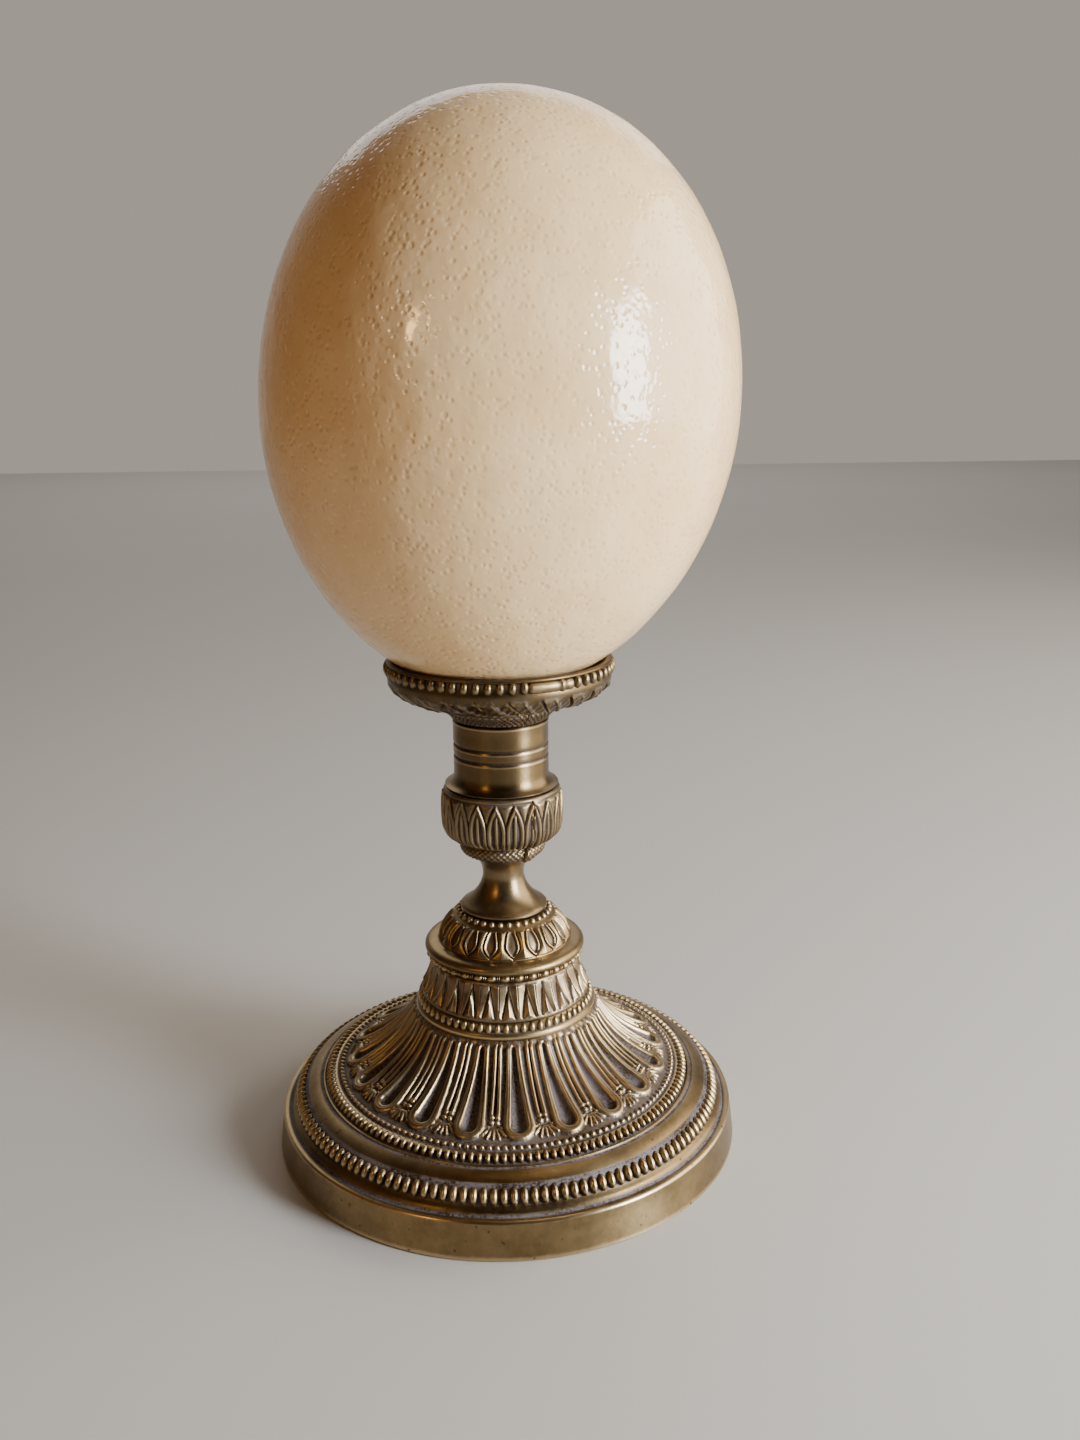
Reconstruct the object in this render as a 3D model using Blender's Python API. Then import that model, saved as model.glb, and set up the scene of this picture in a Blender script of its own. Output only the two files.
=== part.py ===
"""An ostrich egg resting in the drip pan of an ornate antique brass stand.

Units are metres, with +Z up.  The origin is the centre of the foot's resting
ring, on the surface that the stand stands on.  The stand is a stack of cast
and turned brass pieces, drawn together by a threaded rod up the middle.
"""

import math

import bmesh
import bpy
from mathutils import Matrix, Vector

GAP = 0.0003  # clearance between pieces that touch

# Egg: a solid of revolution, blunter above than below, leaning a little in its seat.
EGG_RADIUS = 0.0630
EGG_UPPER_HALF = 0.0769
EGG_LOWER_HALF = 0.0777
EGG_UPPER_FULLNESS = 2.08  # exponent of the outline: 2 is an ellipse, more is fuller
EGG_LOWER_FULLNESS = 1.93
EGG_CENTRE = Vector((0.00165, 0.0, 0.2126))
EGG_LEAN_DEG = 4.8  # the top leans towards +X

# Stand: the height at which each stacked piece ends, and its main radii.
FOOT_RADIUS = 0.0683
FOOT_TOP = 0.0444
DRUM_TOP = 0.0550
DOME_TOP = 0.0697
STEM_TOP = 0.0868
CUP_TOP = 0.1073
TUBE_TOP = 0.1268
PAN_TOP = 0.1445
SKIRT_TOP_RADIUS = 0.0667
BELL_TOP_RADIUS = 0.0270
DRUM_RADIUS = 0.0246
FLANGE_RADIUS = 0.0234
STEM_BELL_RADIUS = 0.0127
STEM_NECK_RADIUS = 0.0059
CUP_RADIUS = 0.0172
TUBE_RADIUS = 0.0135
PAN_RADIUS = 0.0327
PAN_MOUTH_RADIUS = 0.0296

# Castings: wall of the hollow foot, and the socket in the candle tube.
FOOT_WALL = 0.0026
FOOT_DECK = 0.0044
SOCKET_RADIUS = 0.0118
SOCKET_FLOOR = 0.1130
DISH_FLOOR = 0.1330

# Fixings: an M5 rod, with a nut and washer under the foot.
ROD_RADIUS = 0.0025
ROD_BOTTOM = 0.0310
ROD_TOP = 0.1102
ROD_CHAMFER = 0.0005
ROD_HOLE_RADIUS = ROD_RADIUS + GAP
WASHER_RADIUS = 0.0060
WASHER_HEIGHT = 0.0010
NUT_ACROSS_FLATS = 0.0080
NUT_HEIGHT = 0.0040
NUT_CHAMFER = 0.0005

BRASS = (0.46, 0.33, 0.17)
DARK_BRASS = (0.38, 0.27, 0.14)
STEEL = (0.35, 0.34, 0.32)
SHELL = (0.83, 0.72, 0.56)


def clear_scene():
    """Remove every object that a new file starts with."""
    for obj in list(bpy.data.objects):
        bpy.data.objects.remove(obj, do_unlink=True)


def make_material(name, colour, roughness, metallic):
    """A plain Principled material."""
    material = bpy.data.materials.new(name)
    material.use_nodes = True
    shader = material.node_tree.nodes["Principled BSDF"]
    shader.inputs["Base Color"].default_value = (*colour, 1.0)
    shader.inputs["Roughness"].default_value = roughness
    shader.inputs["Metallic"].default_value = metallic
    return material


def curve(start, handle, end, steps):
    """Points of a quadratic curve in (radius, height), without its start point."""
    start, handle, end = Vector(start), Vector(handle), Vector(end)
    points = []
    for step in range(1, steps + 1):
        t = step / steps
        point = start * (1 - t) ** 2 + handle * 2 * t * (1 - t) + end * t**2
        points.append(tuple(point))
    return points


def moulding(centre, radius, first_deg, last_deg, steps):
    """Points of a round moulding: an arc about a centre in (radius, height)."""
    points = []
    for step in range(steps + 1):
        angle = math.radians(first_deg + (last_deg - first_deg) * step / steps)
        points.append(
            (centre[0] + radius * math.cos(angle), centre[1] + radius * math.sin(angle))
        )
    return points


def turned(name, outline, segments, material, closed=True):
    """A solid turned about Z from an outline in (radius, height).

    An open outline starts and ends on the axis; a closed one runs round a bore.
    """
    shape = bmesh.new()
    ring = [shape.verts.new((radius, 0.0, height)) for radius, height in outline]
    pairs = list(zip(ring, ring[1:]))
    if closed:
        pairs.append((ring[-1], ring[0]))
    edges = [shape.edges.new(pair) for pair in pairs]
    bmesh.ops.spin(
        shape,
        geom=ring + edges,
        cent=(0.0, 0.0, 0.0),
        axis=(0.0, 0.0, 1.0),
        angle=math.tau,
        steps=segments,
        use_duplicate=False,
    )
    bmesh.ops.remove_doubles(shape, verts=shape.verts, dist=1e-6)
    bmesh.ops.recalc_face_normals(shape, faces=shape.faces)
    return finish_piece(name, shape, material)


def finish_piece(name, shape, material):
    """Turn a bmesh into a named object, with round faces shaded smooth."""
    mesh = bpy.data.meshes.new(name)
    shape.to_mesh(mesh)
    shape.free()
    mesh.materials.append(material)
    mesh.shade_smooth()
    mesh.set_sharp_from_angle(angle=math.radians(35))
    obj = bpy.data.objects.new(name, mesh)
    bpy.context.scene.collection.objects.link(obj)
    return obj


def bored(outline, bottom, top):
    """An outline closed by the hole that the rod passes through."""
    return [(ROD_HOLE_RADIUS, bottom), *outline, (ROD_HOLE_RADIUS, top)]


def make_foot():
    """The wide cast foot: skirt, two bead rings, fluted bell and top moulding, hollow below."""
    bell_edge = (0.0509, 0.0208)
    bell_top = (BELL_TOP_RADIUS, 0.0394)
    outside = [
        (FOOT_RADIUS, 0.0),
        (SKIRT_TOP_RADIUS, 0.0103),
        (SKIRT_TOP_RADIUS - 0.0010, 0.0114),
        (0.0642, 0.0116),
        *moulding((0.0607, 0.0142), 0.0027, -42, 118, 3),
        *curve((0.0598, 0.0170), (0.0579, 0.0185), (0.0548, 0.0192), 3),
        *moulding((0.0526, 0.0201), 0.0014, 0, 140, 2),
        bell_edge,
        *curve(bell_edge, (0.0330, 0.0270), bell_top, 6),
        *moulding((0.0250, 0.0407), 0.0015, -35, 80, 2),
        *moulding((0.0247, 0.0431), 0.0011, -30, 90, 2),
        (0.0238, FOOT_TOP),
    ]
    ceiling = FOOT_TOP - FOOT_DECK
    hollow_edge = (0.0502, 0.0180)
    hollow_top = (BELL_TOP_RADIUS - FOOT_WALL, 0.0376)
    inside = [
        (ROD_HOLE_RADIUS, FOOT_TOP),
        (ROD_HOLE_RADIUS, ceiling),
        (0.0215, ceiling),
        *curve(hollow_top, (0.0312, 0.0247), hollow_edge, 5),
        (0.0572, 0.0158),
        (0.0594, 0.0100),
        (0.0636, 0.0088),
        (FOOT_RADIUS - FOOT_WALL, 0.0),
    ]
    material = make_material("foot_brass", BRASS, 0.34, 1.0)
    return turned("foot", outside + inside, 44, material)


def make_leaf_drum():
    """The short flared drum that carries a ring of upright leaves."""
    bottom = FOOT_TOP + GAP
    outline = [
        (DRUM_RADIUS, bottom),
        *curve((DRUM_RADIUS, bottom), (0.0222, 0.0482), (0.0207, DRUM_TOP - 0.0006), 4),
        (0.0200, DRUM_TOP),
    ]
    material = make_material("leaf_drum_brass", DARK_BRASS, 0.42, 1.0)
    return turned("leaf_drum", bored(outline, bottom, DRUM_TOP), 32, material)


def make_leaf_dome():
    """The domed knop: a beaded flange below, leaves above, a small bead row on top."""
    bottom = DRUM_TOP + GAP
    shoulder = (0.0196, 0.0607)
    outline = [
        (0.0208, bottom),
        *moulding((0.0216, 0.0567), 0.0011, -60, 60, 2),
        *moulding((FLANGE_RADIUS - 0.0013, 0.0591), 0.0013, -50, 80, 3),
        shoulder,
        *curve(shoulder, (0.0186, 0.0648), (0.0148, 0.0681), 4),
        *moulding((0.0131, 0.0688), 0.0009, -30, 90, 2),
        (0.0115, DOME_TOP),
    ]
    material = make_material("leaf_dome_brass", BRASS, 0.34, 1.0)
    return turned("leaf_dome", bored(outline, bottom, DOME_TOP), 32, material)


def make_stem():
    """The plain turned stem: a bell at the foot, a thin neck, a flared head."""
    bottom = DOME_TOP + GAP
    bell_edge = (STEM_BELL_RADIUS - 0.0003, 0.0718)
    neck = (STEM_NECK_RADIUS, 0.0802)
    outline = [
        (STEM_BELL_RADIUS - 0.0009, bottom),
        (STEM_BELL_RADIUS, 0.0708),
        bell_edge,
        *curve(bell_edge, (0.0066, 0.0744), neck, 5),
        *curve(neck, (0.0058, 0.0848), (0.0096, STEM_TOP), 3),
    ]
    material = make_material("stem_brass", BRASS, 0.30, 1.0)
    return turned("stem", bored(outline, bottom, STEM_TOP), 28, material)


def make_leaf_cup():
    """The leafy cup: a knurled collar below, a swelling body, a smooth lip."""
    bottom = STEM_TOP + GAP
    body_foot = (0.0119, 0.0917)
    body_side = (0.0170, 0.0958)
    body_widest = (CUP_RADIUS, 0.1008)
    outline = [
        (0.0100, bottom),
        *moulding((0.0102, 0.0893), 0.0021, -50, 50, 3),
        body_foot,
        *curve(body_foot, (0.0163, 0.0924), body_side, 3),
        body_widest,
        *curve(body_widest, (0.0171, 0.1058), (0.0162, CUP_TOP), 3),
    ]
    material = make_material("leaf_cup_brass", BRASS, 0.36, 1.0)
    return turned("leaf_cup", bored(outline, bottom, CUP_TOP), 32, material)


def make_candle_tube():
    """The candle socket: a tube with a flared foot and a floor, tapped from below."""
    bottom = CUP_TOP + GAP
    hole_end = ROD_TOP + 2 * GAP
    outline = [
        (0.0, hole_end),
        (ROD_HOLE_RADIUS, hole_end),
        (ROD_HOLE_RADIUS, bottom),
        (0.0159, bottom),
        (0.0162, bottom + 0.0003),
        *curve((0.0161, bottom + 0.0005), (0.0139, bottom + 0.0008), (TUBE_RADIUS, 0.1110), 4),
        (TUBE_RADIUS, TUBE_TOP),
        (SOCKET_RADIUS, TUBE_TOP),
        (SOCKET_RADIUS, SOCKET_FLOOR),
        (0.0, SOCKET_FLOOR),
    ]
    material = make_material("candle_tube_brass", BRASS, 0.32, 1.0)
    return turned("candle_tube", outline, 28, material, closed=False)


def make_drip_pan():
    """The drip pan: a spigot in the socket, a crosshatched collar and a leafy dish."""
    bottom = TUBE_TOP + GAP
    spigot_radius = SOCKET_RADIUS - GAP
    collar_top = (0.0162, 0.1298)
    dish_foot = (0.0166, 0.1326)
    rim_bottom = (0.0314, 0.1386)
    mouth = (PAN_MOUTH_RADIUS, PAN_TOP - 0.0008)
    outline = [
        (0.0, SOCKET_FLOOR + GAP),
        (spigot_radius, SOCKET_FLOOR + GAP),
        (spigot_radius, bottom),
        (0.0134, bottom),
        *curve((0.0134, bottom), (0.0142, 0.1285), collar_top, 3),
        dish_foot,
        *curve(dish_foot, (0.0280, 0.1328), rim_bottom, 5),
        *moulding((PAN_RADIUS - 0.0020, 0.1418), 0.0020, -30, 65, 3),
        (0.0305, PAN_TOP),
        mouth,
        *curve(mouth, (0.0235, 0.1342), (0.0125, DISH_FLOOR), 4),
        (0.0, DISH_FLOOR),
    ]
    material = make_material("drip_pan_brass", DARK_BRASS, 0.38, 1.0)
    return turned("drip_pan", outline, 36, material, closed=False)


def make_egg():
    """The whole egg, turned from a superellipse and leaned in its seat."""
    half_rows = 9
    outline = []
    for row in range(-half_rows, half_rows + 1):
        angle = math.pi / 2 * row / half_rows
        lower = row < 0
        fullness = EGG_LOWER_FULLNESS if lower else EGG_UPPER_FULLNESS
        half = -EGG_LOWER_HALF if lower else EGG_UPPER_HALF
        radius = EGG_RADIUS * max(math.cos(angle), 0.0) ** (2 / fullness)
        height = half * abs(math.sin(angle)) ** (2 / fullness)
        outline.append((0.0 if abs(row) == half_rows else radius, height))
    material = make_material("egg_shell", SHELL, 0.22, 0.0)
    egg = turned("egg", outline, 32, material, closed=False)
    egg.location = EGG_CENTRE
    egg.rotation_euler = (0.0, math.radians(EGG_LEAN_DEG), 0.0)
    return egg


def make_tie_rod():
    """The threaded rod that draws the stack together, drawn at its thread's crest."""
    outline = [
        (0.0, ROD_BOTTOM),
        (ROD_RADIUS - ROD_CHAMFER, ROD_BOTTOM),
        (ROD_RADIUS, ROD_BOTTOM + ROD_CHAMFER),
        (ROD_RADIUS, ROD_TOP - ROD_CHAMFER),
        (ROD_RADIUS - ROD_CHAMFER, ROD_TOP),
        (0.0, ROD_TOP),
    ]
    material = make_material("tie_rod_steel", STEEL, 0.40, 1.0)
    return turned("tie_rod", outline, 16, material, closed=False)


def make_washer():
    """The flat washer under the foot's deck."""
    top = FOOT_TOP - FOOT_DECK - GAP
    bottom = top - WASHER_HEIGHT
    outline = [
        (ROD_HOLE_RADIUS, bottom),
        (WASHER_RADIUS, bottom),
        (WASHER_RADIUS, top),
        (ROD_HOLE_RADIUS, top),
    ]
    material = make_material("washer_steel", STEEL, 0.42, 1.0)
    return turned("washer", outline, 24, material)


def make_nut():
    """The hexagonal nut on the rod: a six-sided ring whose outer edges are broken."""
    top = FOOT_TOP - FOOT_DECK - WASHER_HEIGHT - 2 * GAP
    bottom = top - NUT_HEIGHT
    corner_radius = NUT_ACROSS_FLATS / 2 / math.cos(math.pi / 6)
    sides = 24
    shape = bmesh.new()
    levels = (
        (bottom, NUT_CHAMFER),
        (bottom + NUT_CHAMFER, 0.0),
        (top - NUT_CHAMFER, 0.0),
        (top, NUT_CHAMFER),
    )
    loops = []
    for height, inset in levels:
        loops.append(
            [hexagon_point(shape, side, sides, corner_radius, inset, height) for side in range(sides)]
        )
    for height in (top, bottom):
        loops.append(
            [
                shape.verts.new(Matrix.Rotation(math.tau * side / sides, 3, "Z")
                                @ Vector((ROD_HOLE_RADIUS, 0.0, height)))
                for side in range(sides)
            ]
        )
    for lower, upper in zip(loops, loops[1:] + loops[:1]):
        for side in range(sides):
            after = (side + 1) % sides
            shape.faces.new((lower[side], lower[after], upper[after], upper[side]))
    bmesh.ops.recalc_face_normals(shape, faces=shape.faces)
    return finish_piece("nut", shape, make_material("nut_steel", STEEL, 0.38, 1.0))


def hexagon_point(shape, side, sides, corner_radius, inset, height):
    """A corner of the nut's outline, drawn in where a chamfer cuts the hexagon's corners."""
    angle = math.tau * side / sides
    flat_angle = (angle + math.pi / 6) % (math.pi / 3) - math.pi / 6
    to_flat = corner_radius * math.cos(math.pi / 6) / math.cos(math.pi / 6 - abs(flat_angle))
    radius = min(to_flat, corner_radius - inset)
    return shape.verts.new((radius * math.cos(angle), radius * math.sin(angle), height))


def main():
    clear_scene()
    make_foot()
    make_leaf_drum()
    make_leaf_dome()
    make_stem()
    make_leaf_cup()
    make_candle_tube()
    make_drip_pan()
    make_egg()
    make_tie_rod()
    make_washer()
    make_nut()


main()
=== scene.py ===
import math

import bpy
import numpy as np
from mathutils import Euler, Matrix, Vector


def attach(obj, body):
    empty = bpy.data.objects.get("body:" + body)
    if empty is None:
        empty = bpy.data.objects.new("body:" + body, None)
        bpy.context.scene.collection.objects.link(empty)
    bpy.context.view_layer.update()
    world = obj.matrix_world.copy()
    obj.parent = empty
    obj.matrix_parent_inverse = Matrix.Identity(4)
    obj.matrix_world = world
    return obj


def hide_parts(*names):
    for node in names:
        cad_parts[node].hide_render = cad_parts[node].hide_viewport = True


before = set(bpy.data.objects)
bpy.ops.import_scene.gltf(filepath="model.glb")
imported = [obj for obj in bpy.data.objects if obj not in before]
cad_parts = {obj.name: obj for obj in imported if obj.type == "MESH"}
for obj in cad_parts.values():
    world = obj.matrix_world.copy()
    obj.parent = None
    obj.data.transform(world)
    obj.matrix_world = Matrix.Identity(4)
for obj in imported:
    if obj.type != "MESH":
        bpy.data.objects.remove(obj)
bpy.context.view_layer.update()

# ---------------------------------------------------------------------------------------
# The foot's bell. The foot is one hollow brass casting; this is its sloping upper face,
# chased with twenty long flutes, each inside a raised round rim, with pairs of fine
# ridges between them that end in a small rosette and a spray of petals.
# ---------------------------------------------------------------------------------------
MM = 0.001
FLUTES = 20
FLUTE_PITCH = math.tau / FLUTES
FLUTE_PHASE = math.radians(-86.0)  # the flute nearest the front
BELL_EDGE = (51.0, 20.9)  # radius and height of the bell's lower edge, in millimetres
BELL_TOP = (27.0, 39.4)


def curve(start, handle, end, steps):
    """Points of a quadratic curve in (radius, height), without its start point."""
    start, handle, end = Vector(start), Vector(handle), Vector(end)
    points = []
    for step in range(1, steps + 1):
        t = step / steps
        points.append(tuple(start * (1 - t) ** 2 + handle * 2 * t * (1 - t) + end * t**2))
    return points


def moulding(centre, radius, first_deg, last_deg, steps):
    """Points of a round moulding: an arc about a centre in (radius, height)."""
    angles = np.radians(np.linspace(first_deg, last_deg, steps + 1))
    return [(centre[0] + radius * math.cos(a), centre[1] + radius * math.sin(a)) for a in angles]


def spans(points):
    """The lengths of a line's straight spans."""
    return np.linalg.norm(np.diff(np.array(points), axis=0), axis=1)


def length_of(points):
    """The length of a line."""
    return float(spans(points).sum())


def respaced(points, stations):
    """The same line with points at the given distances along it."""
    points = np.array(points)
    along = np.concatenate([[0.0], np.cumsum(spans(points))])
    stations = np.minimum(stations, along[-1])
    radii = np.interp(stations, along, points[:, 0])
    heights = np.interp(stations, along, points[:, 1])
    return list(zip(radii, heights))


def turn(name, outline, columns, sectors=1):
    """Turn an outline in (radius, height) millimetres about the stand's axis, as on a lathe.

    A finely divided piece is turned through one sector, which is then repeated all round.
    """
    bpy.ops.object.select_all(action="DESELECT")
    bpy.ops.mesh.primitive_plane_add(size=MM, location=(0.0, 0.0, 0.0))
    piece = bpy.context.object
    piece.name = piece.data.name = name
    bpy.ops.object.mode_set(mode="EDIT")
    bpy.ops.mesh.select_all(action="SELECT")
    bpy.ops.mesh.merge(type="CENTER")
    bpy.ops.transform.translate(value=(outline[0][0] * MM, 0.0, outline[0][1] * MM))
    for (r0, z0), (r1, z1) in zip(outline, outline[1:]):
        bpy.ops.mesh.extrude_region_move(
            TRANSFORM_OT_translate={"value": ((r1 - r0) * MM, 0.0, (z1 - z0) * MM)}
        )
    bpy.ops.mesh.select_all(action="SELECT")
    bpy.ops.mesh.spin(
        steps=columns // sectors,
        angle=math.tau / sectors,
        center=(0.0, 0.0, 0.0),
        axis=(0.0, 0.0, 1.0),
    )
    bpy.ops.mesh.select_all(action="SELECT")
    if sectors > 1:
        bpy.ops.mesh.spin(
            steps=sectors - 1,
            dupli=True,
            angle=math.tau * (sectors - 1) / sectors,
            center=(0.0, 0.0, 0.0),
            axis=(0.0, 0.0, 1.0),
        )
        bpy.ops.mesh.select_all(action="SELECT")
    bpy.ops.mesh.remove_doubles(threshold=0.01 * MM)
    bpy.ops.mesh.normals_make_consistent(inside=False)
    bpy.ops.object.mode_set(mode="OBJECT")
    return piece


def hump(x):
    """A soft round hump: 1 at x = 0, falling to 0 at x = 1 and beyond."""
    return np.where(np.abs(x) < 1, 0.5 + 0.5 * np.cos(math.pi * np.clip(x, -1, 1)), 0.0)


def roll(x):
    """A half-round bead's height: 1 at x = 0, falling steeply to 0 at x = 1."""
    return np.sqrt(np.clip(1 - x**2, 0, 1))


def raised(height, blob, rise):
    """The surface lifted into a rounded blob wherever blob is under 1."""
    return np.where(blob < 1, np.maximum(height, rise * roll(blob)), height)


def step_up(x, low, high):
    """A smooth step from 0 at low to 1 at high."""
    t = np.clip((x - low) / (high - low), 0, 1)
    return t * t * (3 - 2 * t)


def blur(grid, rows, columns):
    """A grid averaged over its neighbours; it closes on itself round the stand."""
    total = np.zeros_like(grid)
    padded = np.pad(grid, ((rows, rows), (0, 0)), mode="edge")
    for shift in range(2 * rows + 1):
        total += padded[shift : shift + grid.shape[0]]
    total /= 2 * rows + 1
    spread = np.zeros_like(grid)
    for shift in range(-columns, columns + 1):
        spread += np.roll(total, shift, axis=1)
    return spread / (2 * columns + 1)


def places_of(piece):
    """The places of a piece's points, one to a row, in metres."""
    places = np.empty(len(piece.data.vertices) * 3)
    piece.data.vertices.foreach_get("co", places)
    return places.reshape(-1, 3)


def move_points(piece, places):
    """Put a piece's points in these places, in metres."""
    piece.data.vertices.foreach_set("co", places.ravel())
    piece.data.update()


def carve(piece, outline, columns, relief, reach=(2, 3), tight=0.20):
    """Raise or sink a turned piece along its normals by relief(angle, along, radius), in mm.

    The point attribute "hollow" keeps how far each point lies in a recess (positive) or
    on a crest (negative), which the finish uses for tarnish and wear. It is full where a
    point lies tight mm under the mean of its neighbours, which go reach rows and columns
    out, or deep mm under the plain surface.
    """
    deep = 1.4
    points = np.array(outline)
    along = np.concatenate([[0.0], np.cumsum(spans(points))])
    tangent = np.gradient(points, axis=0)
    tangent /= np.maximum(np.linalg.norm(tangent, axis=1, keepdims=True), 1e-9)
    normal = np.stack([tangent[:, 1], -tangent[:, 0]], axis=1)
    place = places_of(piece) / MM
    radius = np.hypot(place[:, 0], place[:, 1])
    angle = np.arctan2(place[:, 1], place[:, 0])
    row = np.argmin(
        (radius[:, None] - points[:, 0]) ** 2 + (place[:, 2, None] - points[:, 1]) ** 2, axis=1
    )
    column = np.rint(angle / (math.tau / columns)).astype(int) % columns
    angles = np.arange(columns) * math.tau / columns
    grid_angle, grid_along = np.meshgrid(angles, along)
    grid_radius = np.repeat(points[:, :1], columns, axis=1)
    height = relief(grid_angle, grid_along, grid_radius)
    lift = height[row, column]
    place[:, 0] += normal[row, 0] * lift * np.cos(angle)
    place[:, 1] += normal[row, 0] * lift * np.sin(angle)
    place[:, 2] += normal[row, 1] * lift
    move_points(piece, place * MM)
    hollow = (blur(height, *reach) - height) / tight + np.maximum(-height, 0) / deep
    write_hollow(piece, np.clip(hollow, -1, 1)[row, column])


def write_hollow(piece, values):
    """Store the recess-or-crest value of each point."""
    layer = piece.data.attributes.new("hollow", "FLOAT", "POINT")
    layer.data.foreach_set("value", np.asarray(values, dtype=np.float32))


def smooth(piece, angle_deg):
    """Shade a piece smooth, with a crease wherever it turns sharply."""
    bpy.ops.object.select_all(action="DESELECT")
    piece.select_set(True)
    bpy.context.view_layer.objects.active = piece
    bpy.ops.object.shade_smooth_by_angle(angle=math.radians(angle_deg))


def flute_relief(angle, along, radius):
    """Height of the chased bell, in mm: flutes, rims, ridges, rosettes, sprays and dots."""
    turned = (angle - FLUTE_PHASE + FLUTE_PITCH / 2) % FLUTE_PITCH - FLUTE_PITCH / 2
    across = np.abs(turned) * radius  # from the middle of the flute
    gap = (FLUTE_PITCH / 2 - np.abs(turned)) * radius  # from midway between two flutes
    side = np.sign(turned) * gap
    along = along - BELL_HEM
    tip, head = 7.9, 29.6  # the centres of the flute's two round ends
    widest, narrowest = 2.15, 0.62  # and their radii
    share = np.clip((along - tip) / (head - tip), 0, 1)
    width = narrowest + (widest - narrowest) * (1 - share) ** 1.25
    rim = 1.35 + 0.95 * (1 - share) ** 1.6
    from_wall = across - width
    from_tip = np.hypot(across, along - tip) - widest
    from_head = np.hypot(across, along - head) - narrowest
    edge = np.where(along < tip, from_tip, np.where(along > head, from_head, from_wall))
    inside = np.clip(1 + edge / width, 0, 1)
    depth = 1.55 - 0.60 * share
    height = np.where(edge < 0, -depth * (1 - inside**2.2), 0.0)
    height += 0.72 * roll((edge - rim / 2) / (rim / 2)) ** 0.8
    height -= 0.16 * hump((edge - rim * 0.42) / 0.30)
    field = step_up(edge, rim - 0.05, rim + 0.15)
    ridge_place = 0.62 + 0.42 * (1 - share)
    ridge = roll((gap - ridge_place) / 0.52) * step_up(along, 10.9, 11.5) * field
    valley = hump(gap / 0.42) * step_up(along, 11.2, 12.2)
    height += 0.58 * ridge - 0.62 * valley * field
    height -= 0.38 * field * (ridge < 0.05)
    rosette, petal_reach = 9.9, 1.10
    for turn_deg in (45, 135, 225, 315):
        petal_side = petal_reach * math.sin(math.radians(turn_deg))
        petal_along = rosette + petal_reach * math.cos(math.radians(turn_deg))
        petal = np.hypot(side - petal_side, along - petal_along) / 0.74
        height = raised(height, petal, 0.62)
    height -= 0.65 * hump(np.hypot(gap, along - rosette) / 0.62)
    spray_root = 8.6
    spray_starts = {-66: 1.5, -44: 1.4, -22: 1.2, 0: 1.0, 22: 1.2, 44: 1.4, 66: 1.5}
    for lean_deg, start in spray_starts.items():
        lean = math.radians(lean_deg)
        down = (spray_root - along) * math.cos(lean) + side * math.sin(lean)
        off = (spray_root - along) * math.sin(lean) - side * math.cos(lean)
        leaf = np.hypot((down - start - 1.75) / 1.95, off / 0.44)
        height = raised(height, np.where(field > 0.5, leaf, 9), 0.36)
    dots = 150
    dot_side = ((angle * dots / math.tau + 0.5) % 1 - 0.5) * math.tau / dots * radius
    dot = np.hypot(dot_side / 0.70, (along - 1.55) / 0.62)
    height = raised(height, dot, 0.45)
    ends = step_up(along, 0.0, 0.5) * (1 - step_up(along, BELL_LENGTH - 1.0, BELL_LENGTH - 0.2))
    return height * ends * (along > 0) * (along < BELL_LENGTH)


bell_line = [BELL_EDGE] + curve(BELL_EDGE, (33.0, 27.0), BELL_TOP, 120)
BELL_LENGTH = length_of(bell_line)
BELL_HEM = float(np.hypot(1.2, 0.3))  # plain metal tucked under the bead ring
hem_edge = (BELL_EDGE[0] + 1.2, BELL_EDGE[1] - 0.3)
bell_stations = np.concatenate([np.arange(0.0, 12.0, 0.30), np.arange(12.0, BELL_LENGTH, 0.62)])
bell_outline = [
    hem_edge,
    *respaced(bell_line, bell_stations),
    BELL_TOP,
    (25.6, 40.4),
    (24.4, 39.4),
    *curve((24.4, 37.6), (31.2, 24.7), (50.2, 18.0), 5),
    hem_edge,
]
BELL_COLUMNS = 1200
foot_bell = turn("foot_bell", bell_outline, BELL_COLUMNS, FLUTES)
carve(foot_bell, bell_outline, BELL_COLUMNS, flute_relief)
smooth(foot_bell, 75)


class Wire:
    """A value in a finish. Arithmetic on wires adds the Math nodes for it."""

    def __init__(self, finish, socket):
        self.finish = finish
        self.socket = socket

    def sum_of(self, operation, first, second):
        return self.finish.add("ShaderNodeMath", {"operation": operation}, {0: first, 1: second})

    def __add__(self, other):
        return self.sum_of("ADD", self, other)

    def __radd__(self, other):
        return self.sum_of("ADD", other, self)

    def __sub__(self, other):
        return self.sum_of("SUBTRACT", self, other)

    def __rsub__(self, other):
        return self.sum_of("SUBTRACT", other, self)

    def __mul__(self, other):
        return self.sum_of("MULTIPLY", self, other)

    def __rmul__(self, other):
        return self.sum_of("MULTIPLY", other, self)

    def between(self, low, high, out_low=0.0, out_high=1.0):
        """This value as a smooth step from out_low at low to out_high at high."""
        return self.finish.add(
            "ShaderNodeMapRange",
            {"interpolation_type": "SMOOTHSTEP"},
            {
                "Value": self,
                "From Min": low,
                "From Max": high,
                "To Min": out_low,
                "To Max": out_high,
            },
        )


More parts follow.
